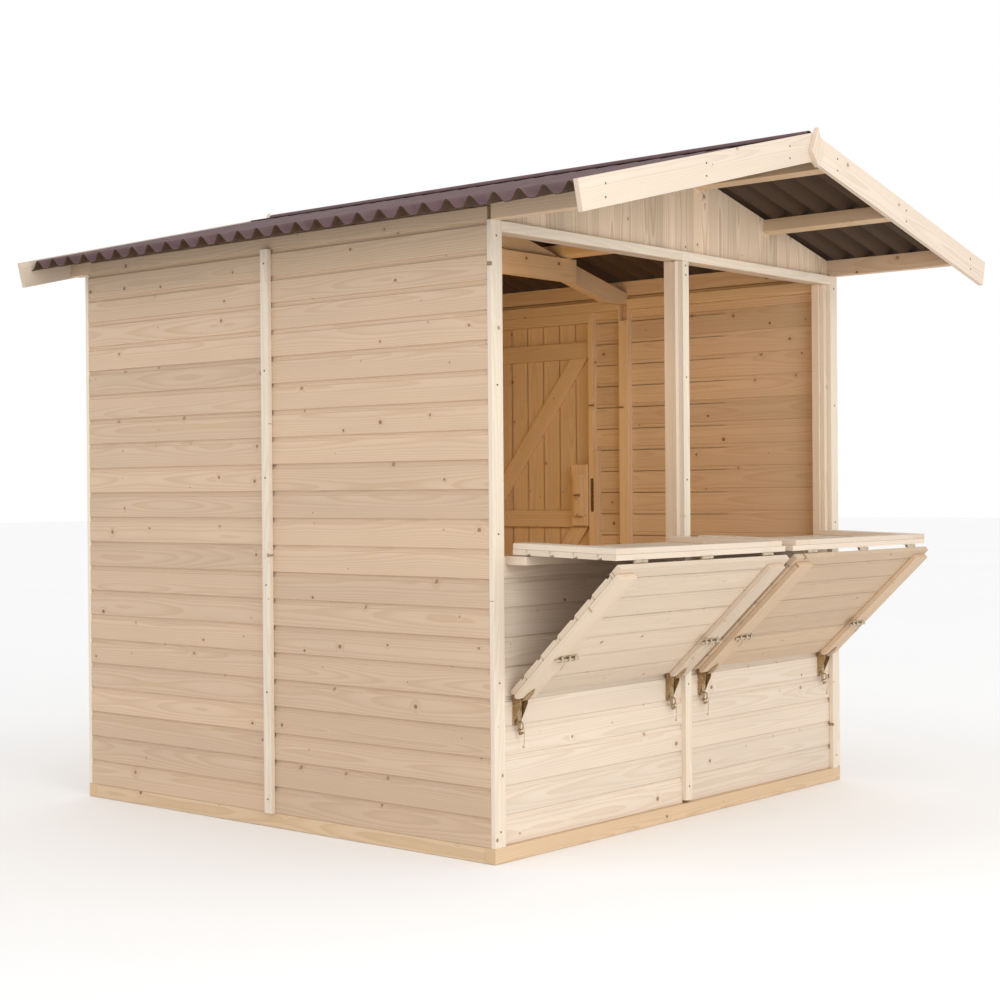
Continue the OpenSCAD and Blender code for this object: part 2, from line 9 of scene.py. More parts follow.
import bpy
import numpy as np
from mathutils import Matrix, Vector


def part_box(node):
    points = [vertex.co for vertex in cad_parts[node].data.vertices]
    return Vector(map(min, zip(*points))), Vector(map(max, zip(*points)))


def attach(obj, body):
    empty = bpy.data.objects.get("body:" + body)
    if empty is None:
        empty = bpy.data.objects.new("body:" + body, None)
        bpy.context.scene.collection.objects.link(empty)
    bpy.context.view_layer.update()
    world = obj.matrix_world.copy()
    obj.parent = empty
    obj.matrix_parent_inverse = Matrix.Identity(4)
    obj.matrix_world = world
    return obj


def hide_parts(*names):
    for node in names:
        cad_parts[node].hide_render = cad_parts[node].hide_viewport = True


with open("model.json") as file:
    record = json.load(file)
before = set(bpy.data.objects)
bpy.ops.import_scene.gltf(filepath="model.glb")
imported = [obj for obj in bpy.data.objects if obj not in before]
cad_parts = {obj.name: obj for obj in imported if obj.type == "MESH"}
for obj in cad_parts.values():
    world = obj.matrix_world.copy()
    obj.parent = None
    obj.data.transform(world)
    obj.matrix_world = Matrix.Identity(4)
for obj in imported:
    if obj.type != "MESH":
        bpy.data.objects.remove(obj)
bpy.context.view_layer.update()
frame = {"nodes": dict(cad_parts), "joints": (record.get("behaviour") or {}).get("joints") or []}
dice = random.Random(11)

# ---- sizes that the frame doesn't hold ----

COVER = 0.094            # height that one wall board covers
FULL = 0.076             # full thickness up to here, then the hollowed lap
LAP_DEPTH = 0.007        # depth of the hollowed lap
WAVE = 0.095             # one wave of a roof sheet
WAVE_H = 0.037           # its height with the sheet's thickness
SHEET_T = 0.003          # thickness of a roof sheet
ARCH = 1.7               # how much narrower a sheet's crest is than its trough
EASE = 0.0014            # rounding of a planed edge
GAP = 0.0003             # seam between two timbers or metals that touch
CAP_T = 0.003            # thickness of the ridge cap
EAVE_SHORT = 0.075       # the right sheet ends this much before its box does
BATTEN_W = 0.090         # width of a leaf's end batten
BATTEN_INSET = 0.022     # its distance from the leaf's inner end
BATTEN_DROP = 0.022      # how far a prop leaf's battens start below its upper edge
RAIL_W = 0.045           # rail along a counter's outer edge
PLATE_T = 0.0015         # thickness of a hinge plate
PLATE_FAR = 0.034        # the plate's far edge from the edge of its leaf
PLATE_NEAR = 0.001       # and its near edge
SILL_PLATE_FAR = 0.019   # far edge of the narrower plate on the sill rail
BOLT_L = 0.115           # bar of a barrel bolt
BOLT_INNER = 0.086       # middle of the inner bolt from the leaf's inner end
BOLT_OUTER = 0.078       # middle of the outer bolt from the leaf's outer end
BOLT_DOWN = 0.400        # both from the leaf's pin
BRACKET_W = 0.034        # width of a prop leaf's bracket
BRACKET_T = 0.0025       # thickness of its metal
STRAP_T = 0.003          # thickness of a door hinge's strap
STRAP_SCREW_1 = 0.03     # first screw from the strap's tip
STRAP_SCREW_STEP = 0.075
STRIKE_Y = (0.1625, 0.1785)
STRIKE_HALF = 0.075      # half the height of the strike plate
FLOOR_BOARDS = 21
SIDES = ((-1, "left"), (1, "right"))

low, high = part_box("left_wall_front_panel")
WALL_T = high.x - low.x
BASE_Z = low.z
pins = {j["name"]: Vector(j["pos_m"]) for j in frame["joints"]}


# ---- modelling ----

def clear():
    bpy.ops.object.select_all(action="DESELECT")


def alone(ob):
    clear()
    ob.select_set(True)
    bpy.context.view_layer.objects.active = ob


def settle(ob):
    """Puts an object's place, turn and scale into its mesh."""
    alone(ob)
    bpy.ops.object.transform_apply(location=True, rotation=True, scale=True)
    return ob


def block(x, y, z):
    """A block between a low and a high value along each axis."""
    clear()
    spans = (x, y, z)
    bpy.ops.mesh.primitive_cube_add(
        size=1, location=[sum(s) / 2 for s in spans], scale=[s[1] - s[0] for s in spans])
    return settle(bpy.context.object)


def rod(radius, length, middle, axis="X", sides=20):
    """A round bar along an axis."""
    clear()
    turn = {"X": (0, math.pi / 2, 0), "Y": (math.pi / 2, 0, 0), "Z": (0, 0, 0)}[axis]
    bpy.ops.mesh.primitive_cylinder_add(
        vertices=sides, radius=radius, depth=length, location=middle, rotation=turn)
    return settle(bpy.context.object)


def twin(ob, move=(0, 0, 0), turn=None):
    """A copy with its own mesh, turned and then moved."""
    new = bpy.data.objects.new(ob.name, ob.data.copy())
    bpy.context.scene.collection.objects.link(new)
    matrix = Matrix.Translation(move)
    if turn:
        matrix = matrix @ Matrix.Rotation(turn[1], 4, turn[0])
    new.data.transform(matrix)
    return new


def drop(ob):
    bpy.data.objects.remove(ob)


def pick_faces(ob, test):
    """Opens edit mode with the faces selected whose middle and normal pass the test."""
    alone(ob)
    bpy.context.tool_settings.mesh_select_mode = (False, False, True)
    bpy.ops.object.mode_set(mode="EDIT")
    bpy.ops.mesh.select_all(action="DESELECT")
    bpy.ops.object.mode_set(mode="OBJECT")
    for face in ob.data.polygons:
        face.select = bool(test(face.center, face.normal))
    bpy.ops.object.mode_set(mode="EDIT")


def pick_edges(ob, test):
    """Opens edit mode with the edges selected whose two ends pass the test."""
    alone(ob)
    bpy.context.tool_settings.mesh_select_mode = (False, True, False)
    bpy.ops.object.mode_set(mode="EDIT")
    bpy.ops.mesh.select_all(action="DESELECT")
    bpy.ops.object.mode_set(mode="OBJECT")
    places = ob.data.vertices
    for edge in ob.data.edges:
        a, b = edge.vertices
        edge.select = bool(test(places[a].co, places[b].co))
    bpy.ops.object.mode_set(mode="EDIT")


def close():
    bpy.ops.object.mode_set(mode="OBJECT")


def open_all(ob):
    """Opens edit mode with everything selected."""
    alone(ob)
    bpy.ops.object.mode_set(mode="EDIT")
    bpy.ops.mesh.select_all(action="SELECT")


def cut(ob, at, normal):
    """Takes away what lies beyond a plane and closes the cut."""
    open_all(ob)
    bpy.ops.mesh.bisect(plane_co=at, plane_no=normal, use_fill=True, clear_outer=True)
    close()
    return ob


def ease(ob, width=EASE, segments=2, angle=35):
    """Rounds the sharp edges, and keeps the part within its own box."""
    alone(ob)
    places = np.array([v.co[:] for v in ob.data.vertices])
    low, high = places.min(0), places.max(0)
    edge = ob.modifiers.new("ease", "BEVEL")
    edge.width, edge.segments = width, segments
    edge.limit_method, edge.angle_limit = "ANGLE", math.radians(angle)
    bpy.ops.object.modifier_apply(modifier=edge.name)
    for vertex in ob.data.vertices:
        vertex.co = np.clip(vertex.co, low, high)
    return ob


def write(me, name, kind, domain, rows):
    spot = me.attributes.get(name) or me.attributes.new(name, kind, domain)
    spot.data.foreach_set("vector" if kind == "FLOAT_VECTOR" else "value", np.ravel(rows))


def grain(ob, tone=None):
    """Tells the wood where it lies in its timber: along, across and through the log."""
    me = ob.data
    count = len(me.vertices)
    co = np.empty(count * 3)
    me.vertices.foreach_get("co", co)
    co = co.reshape(-1, 3)
    ends = np.array([e.vertices[:] for e in me.edges])
    runs = co[ends[:, 1]] - co[ends[:, 0]]
    along = runs[np.argmax(np.einsum("ij,ij->i", runs, runs))]
    along = along / np.linalg.norm(along)
    normals = np.array([f.normal[:] for f in me.polygons])
    areas = np.array([f.area for f in me.polygons])
    through = normals[np.argmax(areas * (np.abs(normals @ along) < 0.3))]
    through = through - along * (through @ along)
    through = through / np.linalg.norm(through)
    across = np.cross(through, along)
    off = co - (co.min(0) + co.max(0)) / 2
    rows = np.stack([off @ along + dice.uniform(5, 95), off @ across, off @ through], 1)
    write(me, "grain", "FLOAT_VECTOR", "POINT", rows)
    side = dice.choice((-1, 1))
    heart = (dice.uniform(-0.035, 0.035), side * dice.uniform(0.028, 0.085),
             dice.random() if tone is None else tone)
    write(me, "heart", "FLOAT_VECTOR", "POINT", np.tile(heart, (count, 1)))
    write(me, "end", "FLOAT", "FACE", (np.abs(normals @ along) > 0.85).astype(float))
    return ob


def from_plain(node, width):
    """The solids of a frame node, one object each, with eased edges."""
    ob = bpy.data.objects.new(node, frame["nodes"][node].data.copy())
    bpy.context.scene.collection.objects.link(ob)
    open_all(ob)
    bpy.ops.mesh.customdata_custom_splitnormals_clear()
    bpy.ops.mesh.remove_doubles(threshold=1e-5)
    bpy.ops.mesh.dissolve_limited(angle_limit=math.radians(0.5))
    bpy.ops.mesh.separate(type="LOOSE")
    close()
    return [ease(o, width) for o in list(bpy.context.selected_objects)]


def from_frame(node, width=EASE):
    """The timbers of a frame node with their grain."""
    return [grain(ob) for ob in from_plain(node, width)]


def islands(node):
    """The box of each solid of a frame node."""
    boxes = []
    for ob in from_plain(node, 0.0005):
        places = np.array([v.co[:] for v in ob.data.vertices])
        boxes.append((Vector(places.min(0)), Vector(places.max(0))))
        drop(ob)
    return boxes


def bent(points, thickness):
    """A strip of sheet bent through points (y, z, width), its width along X."""
    (y0, z0, w0), (y1, z1, w1) = points[:2]
    clear()
    bpy.ops.mesh.primitive_plane_add(
        size=1, location=(0, (y0 + y1) / 2, (z0 + z1) / 2),
        rotation=(math.atan2(z1 - z0, y1 - y0), 0, 0))
    ob = bpy.context.object
    ob.scale = (w1, math.hypot(y1 - y0, z1 - z0), 1)
    settle(ob)

    def on_line(y, z):
        return lambda a, b: max((p - Vector((p.x, y, z))).length for p in (a, b)) < 1e-5

    if w0 != w1:
        pick_edges(ob, on_line(y0, z0))
        bpy.ops.transform.resize(value=(w0 / w1, 1, 1), center_override=(0, y0, z0))
        close()
    pick_edges(ob, on_line(y1, z1))
    last = points[1]
    for y, z, w in points[2:]:
        bpy.ops.mesh.extrude_region_move(
            TRANSFORM_OT_translate={"value": (0, y - last[0], z - last[1])})
        if w != last[2]:
            bpy.ops.transform.resize(value=(w / last[2], 1, 1), center_override=(0, y, z))
        last = (y, z, w)
    close()
    wall = ob.modifiers.new("wall", "SOLIDIFY")
    wall.thickness, wall.offset = thickness, 0
    alone(ob)
    bpy.ops.object.modifier_apply(modifier=wall.name)
    open_all(ob)
    bpy.ops.mesh.normals_make_consistent(inside=False)
    close()
    return ob


def wire(points, radius):
    """A round wire bent through points."""
    clear()
    bpy.ops.curve.primitive_nurbs_path_add()
    ob = bpy.context.object
    line = ob.data
    line.splines.clear()
    spline = line.splines.new("POLY")
    spline.points.add(len(points) - 1)
    for point, place in zip(spline.points, points):
        point.co = (*place, 1)
    line.bevel_depth, line.bevel_resolution, line.use_fill_caps = radius, 2, True
    alone(ob)
    bpy.ops.object.convert(target="MESH")
    ob = bpy.context.object
    open_all(ob)
    bpy.ops.mesh.remove_doubles(threshold=1e-6)
    bpy.ops.mesh.normals_make_consistent(inside=False)
    close()
    return ob


def make_screw():
    """A countersunk screw head with a square recess, its face towards +Z."""
    head = rod(0.0034, 0.0014, (0, 0, 0.0003), "Z", 12)
    pick_edges(head, lambda a, b: min(a.z, b.z) > 0.0009)
    bpy.ops.mesh.bevel(offset=0.0006, segments=2, affect="EDGES")
    close()
    pick_faces(head, lambda c, n: n.z > 0.9 and c.length < 0.0015)
    bpy.ops.mesh.inset(thickness=0.0013, depth=-0.0009)
    close()
    return head


screw = make_screw()
SCREW_WAYS = {"Z": None, "X": ("Y", math.pi / 2), "-X": ("Y", -math.pi / 2),
              "-Y": ("X", math.pi / 2), "Y": ("X", -math.pi / 2)}


def set_screw(place, facing):
    """A screw head at a place, in a list so that it adds to a list of parts."""
    return [twin(screw, place, SCREW_WAYS[facing])]


def piece(name, parts, material, body, slot, *nodes, smooth=None):
    """Joins parts to one piece, dresses it and sets it on its body."""
    clear()
    for part in parts:
        part.select_set(True)
    ob = parts[0]
    bpy.context.view_layer.objects.active = ob
    if len(parts) > 1:
        bpy.ops.object.join()
    ob.name = ob.data.name = name
    ob.data.materials.clear()
    ob.data.materials.append(material)
    alone(ob)
    if smooth:
        bpy.ops.object.shade_smooth_by_angle(angle=math.radians(smooth))
    else:
        bpy.ops.object.shade_flat()
    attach(ob, body)
    if nodes:
        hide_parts(*nodes)
    return ob


# ---- materials ----

class Wire:
    """A socket of a material being made. Sums on it add their Math nodes."""

    def __init__(self, tree, socket):
        self.tree, self.socket = tree, socket

    def node(self, kind, out, settings=None, **sockets):
        """Adds a node with its settings, then its sockets, and gives one of its outputs."""
        new = self.tree.nodes.new("ShaderNode" + kind)
        for name, value in (settings or {}).items():
            if name == "stops":
                ramp = new.color_ramp.elements
                for i, (place, colour) in enumerate(value):
                    stop = ramp[i] if i < len(ramp) else ramp.new(place)
                    stop.position, stop.color = place, (*colour, 1)
            else:
                setattr(new, name, value)
        for name, value in sockets.items():
            if name.startswith("n") and name[1:].isdigit():
                port = new.inputs[int(name[1:])]
            else:
                port = new.inputs[name.replace("_", " ")]
            if isinstance(value, Wire):
                self.tree.links.new(value.socket, port)
            elif port.type == "RGBA":
                port.default_value = (*value, 1)
            else:
                port.default_value = value
        return Wire(self.tree, new.outputs[out])

    def sum(self, operation, a, b=0.0):
        return self.node("Math", 0, {"operation": operation}, n0=a, n1=b)

    def __add__(self, other):
        return self.sum("ADD", self, other)

    def __sub__(self, other):
        return self.sum("SUBTRACT", self, other)

    def __rsub__(self, other):
        return self.sum("SUBTRACT", other, self)

    def __mul__(self, other):
        return self.sum("MULTIPLY", self, other)

    def __truediv__(self, other):
        return self.sum("DIVIDE", self, other)

    __radd__, __rmul__ = __add__, __mul__

    def root(self):
        return self.sum("SQRT", self)

    def part(self):
        return self.sum("FRACT", self)

    def step(self, start, end):
        """Runs smoothly from 0 to 1 as the value goes from start to end."""
        return self.node("MapRange", 0, {"interpolation_type": "SMOOTHSTEP"},
                         n0=self, n1=start, n2=end)

    def split(self):
        return [self.node("SeparateXYZ", i, n0=self) for i in range(3)]

    def point(self, x, y, z=0.0):
        return self.node("CombineXYZ", 0, n0=x, n1=y, n2=z)

    def noise(self, place, scale=1.0, detail=2.0, rough=0.5):
        return self.node("TexNoise", 0, Vector=place, Scale=scale, Detail=detail, Roughness=rough)

    def mix(self, amount, first, second):
        """Goes from the first colour to the second."""
        return self.node("Mix", 2, {"data_type": "RGBA"}, n0=amount, n6=first, n7=second)

    def scaled(self, amount):
        """A colour made lighter or darker."""
        return self.node("VectorMath", 0, {"operation": "SCALE"}, n0=self, n3=amount)


def new_material(name):
    """An empty material: its first wire, and the shader that it ends in."""
    mat = bpy.data.materials.new(name)
    mat.use_nodes = True
    return mat, Wire(mat.node_tree, None), mat.node_tree.nodes["Principled BSDF"]


def finish_material(mat, shader, colour, rough, height=None, depth=0.0004, strength=0.4,
                    metal=0.0, shine=0.5):
    """Joins a material's wires to its shader and sets what is the same all over."""
    tree = mat.node_tree
    tree.links.new(colour.socket, shader.inputs["Base Color"])
    if isinstance(rough, Wire):
        tree.links.new(rough.socket, shader.inputs["Roughness"])
    else:
        shader.inputs["Roughness"].default_value = rough
    shader.inputs["Metallic"].default_value = metal
    shader.inputs["Specular IOR Level"].default_value = shine
    if height is not None:
        bump = height.node("Bump", 0, Strength=strength, Distance=depth, Height=height)
        tree.links.new(bump.socket, shader.inputs["Normal"])
    return mat


def spruce(name, light, late, knot, ring=0.4, vary=0.14):
    """Planed spruce: year rings cut from a log, fibres, knots with bent grain, end grain."""
    mat, w, shader = new_material(name)
    place = w.node("Attribute", "Vector", {"attribute_name": "grain"})
    along, across, through = place.split()
    heart = w.node("Attribute", "Vector", {"attribute_name": "heart"})
    heart_across, heart_depth, tone = heart.split()
    end = w.node("Attribute", "Fac", {"attribute_name": "end"})
    # knots sit one to a cell a fifth of a metre long, and many cells have none
    cell_u, cell_v = along * 5.0, across / COVER + 0.5
    cell = {"voronoi_dimensions": "2D", "feature": "F1"}
    spot = w.point(cell_u, cell_v)
    middle = w.node("TexVoronoi", "Position", cell, Vector=spot, Scale=1.0, Randomness=0.9)
    chance = w.node("TexVoronoi", "Color", cell, Vector=spot, Scale=1.0, Randomness=0.9)
    mid_u, mid_v, _ = middle.split()
    chance_size, chance_dark, _ = chance.split()
    # dividing by a tenth more than the cells to a metre draws each knot out along the board
    off_u, off_v = (cell_u - mid_u) / 5.5, (cell_v - mid_v) * COVER
    ragged = w.noise(w.point(along * 90, across * 90, through * 90), 1.0, 2.0)
    apart = (off_u * off_u + off_v * off_v).root() + (ragged - 0.5) * 0.0016
    size = w.sum("MAXIMUM", chance_size - 0.55, 0.0) * 0.0155 + 0.0001
    inside = 1.0 - apart.step(size * 0.8, size * 1.15)
    rim = apart.step(size * 0.45, size * 0.95) * inside
    bend = 1.0 - apart.step(size * 0.6, size * 4.5)
    # year rings round the heart of the log, which wanders along the board
    slow = w.noise(w.point(along * 0.9, across * 3.0, through * 3.0), 1.0, 1.0)
    sway = w.noise(w.point(along * 4.0, across * 22.0, through * 22.0), 1.0, 2.0)
    ring_a = across - heart_across + (slow - 0.5) * 0.03
    ring_b = through + heart_depth + (slow - 0.5) * 0.06
    radius = (ring_a * ring_a + ring_b * ring_b).root() + (sway - 0.5) * 0.004 + bend * size * 0.9
    year = (radius / 0.0052).part()
    band = year.step(0.25, 0.9) * (1.0 - year.step(0.92, 1.0))
    fibre = w.noise(w.point(along * 4.0, across * 320.0, through * 320.0), 1.0, 3.0, 0.6)
    streak = w.noise(w.point(along * 1.2, across * 45.0, through * 45.0), 1.0, 2.0)
    cloud = w.noise(w.point(along * 2.2, across * 9.0, through * 9.0), 1.0, 2.0)
    colour = w.mix(band * ring * (streak + 0.35), light, late)
    level = 1.0 + (tone - 0.5) * vary + (fibre - 0.5) * 0.10 + (streak - 0.5) * 0.12 \
        + (cloud - 0.5) * 0.12
    colour = colour.scaled(level)
    colour = w.mix(bend * 0.22, colour, late)
    colour = w.mix(inside * (0.55 + chance_dark * 0.4), colour, knot)
    colour = w.mix(rim * (0.25 + chance_dark * 0.5), colour, tuple(c * 0.35 for c in knot))
    colour = w.mix(end * 0.3, colour, late)
    rough = 0.56 + fibre * 0.16 + end * 0.1 - inside * 0.12
    height = fibre * 0.6 + band * 0.35 - rim * 0.5
    return finish_material(mat, shader, colour, rough, height, 0.0005, 0.5, shine=0.35)


# the front and the wall woods are one spruce in two copies: this front copy is lighter, which is
# painted light
front_wood = spruce("front_spruce_painted_light", (0.74, 0.63, 0.52), (0.60, 0.45, 0.31), (0.30, 0.16, 0.08))
# the front gable's copy of the spruce is lighter still: painted light that makes up for the roof's
# shade on it
gable_wood_painted_light = spruce("gable_spruce", (0.83, 0.66, 0.49), (0.58, 0.38, 0.22), (0.30, 0.14, 0.06),
                    0.6, 0.3)
trim_wood = spruce("trim_spruce", (0.83, 0.73, 0.60), (0.70, 0.55, 0.39), (0.33, 0.18, 0.09))
# this wall copy is darker than the front one, which is painted shade; it dresses the side and back
# walls, the fascias and the eave beams
wall_wood = spruce("wall_spruce", (0.64, 0.475, 0.335), (0.50, 0.32, 0.18), (0.27, 0.12, 0.055))
leaf_wood = spruce("leaf_spruce", (0.68, 0.56, 0.44), (0.57, 0.42, 0.28), (0.33, 0.17, 0.08), 0.3)
# a darker, warmer copy of the leaf wood for the right prop leaf: painted shade
right_leaf_wood_painted_shade = spruce("leaf_spruce_warm", (0.63, 0.475, 0.33), (0.50, 0.345, 0.205),
                    (0.30, 0.14, 0.06), 0.3)
frame_wood = spruce("frame_spruce", (0.74, 0.55, 0.36), (0.56, 0.35, 0.18), (0.27, 0.12, 0.05))
floor_wood = spruce("floor_spruce", (0.72, 0.53, 0.35), (0.55, 0.34, 0.18), (0.27, 0.12, 0.05))
door_wood = spruce("door_spruce", (0.72, 0.53, 0.34), (0.55, 0.34, 0.17), (0.26, 0.12, 0.05))


def bitumen():
    """Corrugated bitumen-fibre sheet: burgundy on top, nearly black brown below."""
    mat, w, shader = new_material("bitumen_sheet")
    place = w.node("TexCoord", "Object")
    under = w.node("Attribute", "Fac", {"attribute_name": "under"})
    grit = w.noise(place, 420.0, 2.0, 0.6)
    mottle = w.noise(place, 14.0, 4.0, 0.55)
    dust = w.noise(place, 3.0, 3.0, 0.6)
    colour = w.mix(mottle.step(0.35, 0.7), (0.085, 0.034, 0.038), (0.135, 0.062, 0.068))
    colour = w.mix(dust.step(0.45, 0.75) * 0.35, colour, (0.20, 0.13, 0.13))
    colour = w.mix(grit.step(0.5, 0.75) * 0.3, colour, (0.23, 0.14, 0.14))
    colour = w.mix(under * 0.93, colour, (0.060, 0.032, 0.012))
    rough = 0.5 + mottle * 0.2 + under * 0.25
    return finish_material(mat, shader, colour, rough, grit * 0.5 + mottle * 0.5, 0.0012, 0.5)


def metal(name, bright, dull, rough=0.34, spots=160.0):
    """Plated steel with a mottled passivated skin."""
    mat, w, shader = new_material(name)
    place = w.node("TexCoord", "Object")
    skin = w.noise(place, spots, 3.0, 0.6)
    worn = w.noise(place, spots * 0.2, 3.0, 0.6)
    colour = w.mix(skin.step(0.35, 0.68), dull, bright)
    colour = w.mix(worn.step(0.5, 0.8) * 0.4, colour, tuple(c * 0.6 for c in dull))
    gloss = rough + worn * 0.18 - skin * 0.08
    return finish_material(mat, shader, colour, gloss, skin, 0.0003, 0.25, metal=0.92)


bronze = metal("yellow_zinc", (0.56, 0.41, 0.24), (0.32, 0.22, 0.12))
zinc = metal("bright_zinc", (0.74, 0.64, 0.50), (0.52, 0.43, 0.32), 0.36)
dark_metal = metal("dull_steel", (0.30, 0.22, 0.15), (0.16, 0.11, 0.08), 0.45)
roofing = bitumen()

# ---- the wall board, modelled once for each length ----

made_boards = {}


def board(length, open_joint=0.0022):
    """A lapped wall board: runs from x = 0, stands on z = 0, its face towards -Y."""
    key = (round(length, 4), open_joint)
    if key in made_boards:
        return made_boards[key]
    ob = block((0, length), (-WALL_T, 0), (0, FULL))
    # the lap: the top is drawn up in steps while its outer edge moves in
    steps = 5
    face_y, top = -WALL_T, FULL
    for i in range(1, steps + 1):
        turn = math.pi / 2 * i / steps
        new_y = -WALL_T + LAP_DEPTH * math.sin(turn)
        rise = FULL + (COVER - FULL) * (1 - math.cos(turn)) - top
        pick_faces(ob, lambda c, n: n.z > 0.9 and c.z > top - 1e-5)
        bpy.ops.mesh.extrude_region_move(TRANSFORM_OT_translate={"value": (0, 0, rise)})
        close()
        top += rise
        pick_edges(ob, lambda a, b: min(a.z, b.z) > top - 1e-5 and max(a.y, b.y) < face_y + 1e-5)
        bpy.ops.transform.translate(value=(0, new_y - face_y, 0))
        close()
        face_y = new_y
    # rounded lower edge outside, open joint inside
    pick_edges(ob, lambda a, b: max(a.z, b.z) < 1e-5 and max(a.y, b.y) < -WALL_T + 1e-5)
    bpy.ops.mesh.bevel(offset=0.003, segments=3, affect="EDGES")
    close()
    pick_edges(ob, lambda a, b: min(a.y, b.y) > -1e-5 and abs(a.z - b.z) < 1e-5)
    bpy.ops.mesh.bevel(offset=open_joint, segments=1, affect="EDGES")
    close()
    ob.name = "board"
    made_boards[key] = ob
    return ob


FACING = {"-Y": 0.0, "+X": math.pi / 2, "+Y": math.pi, "-X": -math.pi / 2}


def boarding(x, y, low_z, high_z, facing):
    """Boards in rows that count from the base, cut to the low and the high value."""
    length = (x[1] - x[0]) if facing in ("-Y", "+Y") else (y[1] - y[0])
    start = {"-Y": (x[0], y[1]), "+X": (x[0], y[0]), "+Y": (x[1], y[0]), "-X": (x[1], y[1])}
    rows = []
    row = 0
    model = board(length)
    while BASE_Z + row * COVER < high_z - 0.001:
        z = BASE_Z + row * COVER
        row += 1
        if z + COVER < low_z + 0.001:
            continue
        at_x, at_y = start[facing]
        shift = dice.uniform(-0.0003, 0.0003)
        ob = twin(model, (at_x + shift, at_y + shift, z), ("Z", FACING[facing]))
        if z < low_z - 0.001:
            cut(ob, (0, 0, low_z), (0, 0, -1))
        if z + COVER > high_z + 0.001:
            cut(ob, (0, 0, high_z), (0, 0, 1))
        rows.append(grain(ob))
    return rows


for node, facing, material, slot in (
        ("left_wall_front_panel", "-X", wall_wood, "wall_wood"),
        ("left_wall_rear_panel", "-X", wall_wood, "wall_wood"),
        ("right_wall_front_panel", "+X", wall_wood, "wall_wood"),
        ("front_wall_left_panel", "-Y", front_wood, "front_wood"),
        ("front_wall_right_panel", "-Y", front_wood, "front_wood"),
        ("back_wall_left_panel", "+Y", wall_wood, "wall_wood"),
        ("back_wall_right_panel", "+Y", wall_wood, "wall_wood"),
        ("right_wall_over_door", "+X", wall_wood, "wall_wood")):
    lo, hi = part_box(node)
    parts = boarding((lo.x, hi.x), (lo.y, hi.y), lo.z, hi.z, facing)
    piece(node + "_boards", parts, material, "stall", slot, node)

lo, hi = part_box("right_wall_beside_door")
over_lo, over_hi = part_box("right_wall_over_door")
parts = boarding((lo.x, hi.x), (lo.y, over_lo.y - GAP), lo.z, hi.z, "+X")
parts += boarding((lo.x, hi.x), (over_hi.y + GAP, hi.y), lo.z, hi.z, "+X")
piece("right_wall_beside_door_boards", parts, wall_wood, "stall", "wall_wood",
      "right_wall_beside_door")


def gable(node, facing, material, slot):
    """Upright boards under the roof, flat side out, cut to both slopes."""
    lo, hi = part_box(node)
    half, peak = hi.x, hi.z
    parts = []
    count = math.ceil(2 * half / COVER)
    model = board(hi.z - lo.z + 0.01, 0.0009)
    for i in range(count):
        ob = twin(model)
        # stands on end: the length turns up, the lap lies sideways
        ob.data.transform(Matrix.Rotation(-math.pi / 2, 4, "Y"))
        x = -half + (i + 1) * COVER
        ob.data.transform(Matrix.Translation((x, hi.y, lo.z)))
        if facing == "-Y":
            ob.data.transform(Matrix.Translation((0, lo.y + hi.y, 0))
                              @ Matrix.Rotation(math.pi, 4, "Z"))
        for side in (-1, 1):
            cut(ob, (0, 0, peak), (side * pitch_tan, 0, 1))
            cut(ob, (side * half, 0, 0), (side, 0, 0))
        if len(ob.data.polygons):
            parts.append(grain(ob))
        else:
            drop(ob)
    return piece(node + "_boards", parts, material, "stall", slot, node)


sheet_lo, sheet_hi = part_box("roof_sheet_right")
cap_lo, cap_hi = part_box("ridge_cap")


def roof_slope():
    """The fall of the roof for each metre from the ridge, from the top face of a sheet."""
    places = [v.co for v in frame["nodes"]["roof_sheet_right"].data.vertices]
    ridge = max(p.z for p in places)
    eave = max(p.z for p in places if p.x > sheet_hi.x - 1e-4)
    return (ridge - eave) / (sheet_hi.x - sheet_lo.x)


pitch_tan = roof_slope()
pitch = math.atan(pitch_tan)
gable("front_gable", "-Y", gable_wood_painted_light, "front_wood")
gable("back_gable", "+Y", wall_wood, "wall_wood")

# ---- timbers that the frame already shapes ----

for name, material, slot in (
        ("base_rails", frame_wood, "frame_wood"), ("floor_joists", frame_wood, "frame_wood"),
        ("left_wall_frame", frame_wood, "frame_wood"),
        ("right_wall_frame", frame_wood, "frame_wood"),
        ("back_wall_frame", frame_wood, "frame_wood"),
        ("front_wall_frame", front_wood, "front_wood"),
        ("corner_trims", trim_wood, "front_wood"), ("lintel_trims", trim_wood, "front_wood"),
        ("cover_strips", trim_wood, "front_wood"), ("side_fascias", wall_wood, "wall_wood"),
        ("sill_rails", front_wood, "front_wood"), ("purlins", frame_wood, "frame_wood"),
        ("eave_beams", wall_wood, "wall_wood"), ("rafters", frame_wood, "frame_wood"),
        ("collar_tie", frame_wood, "frame_wood"),
        ("front_bargeboards", front_wood, "front_wood"),
        ("back_bargeboards", front_wood, "front_wood"), ("finials", front_wood, "front_wood")):
    piece(name + "_planed", from_frame(name), material, "stall", slot, name)

# floor boards across the joists
lo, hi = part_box("floor_boards")
width = (hi.y - lo.y) / FLOOR_BOARDS
model = block((lo.x, hi.x), (0, width), (lo.z, hi.z))
pick_edges(model, lambda a, b: min(a.z, b.z) > hi.z - 1e-5 and abs(a.x - b.x) > 0.1)
bpy.ops.mesh.bevel(offset=0.002, segments=1, affect="EDGES")
close()
parts = [grain(twin(model, (0, lo.y + i * width, 0))) for i in range(FLOOR_BOARDS)]
drop(model)
piece("floor_planks", parts, floor_wood, "stall", "floor_wood", "floor_boards")


# ---- roof ----

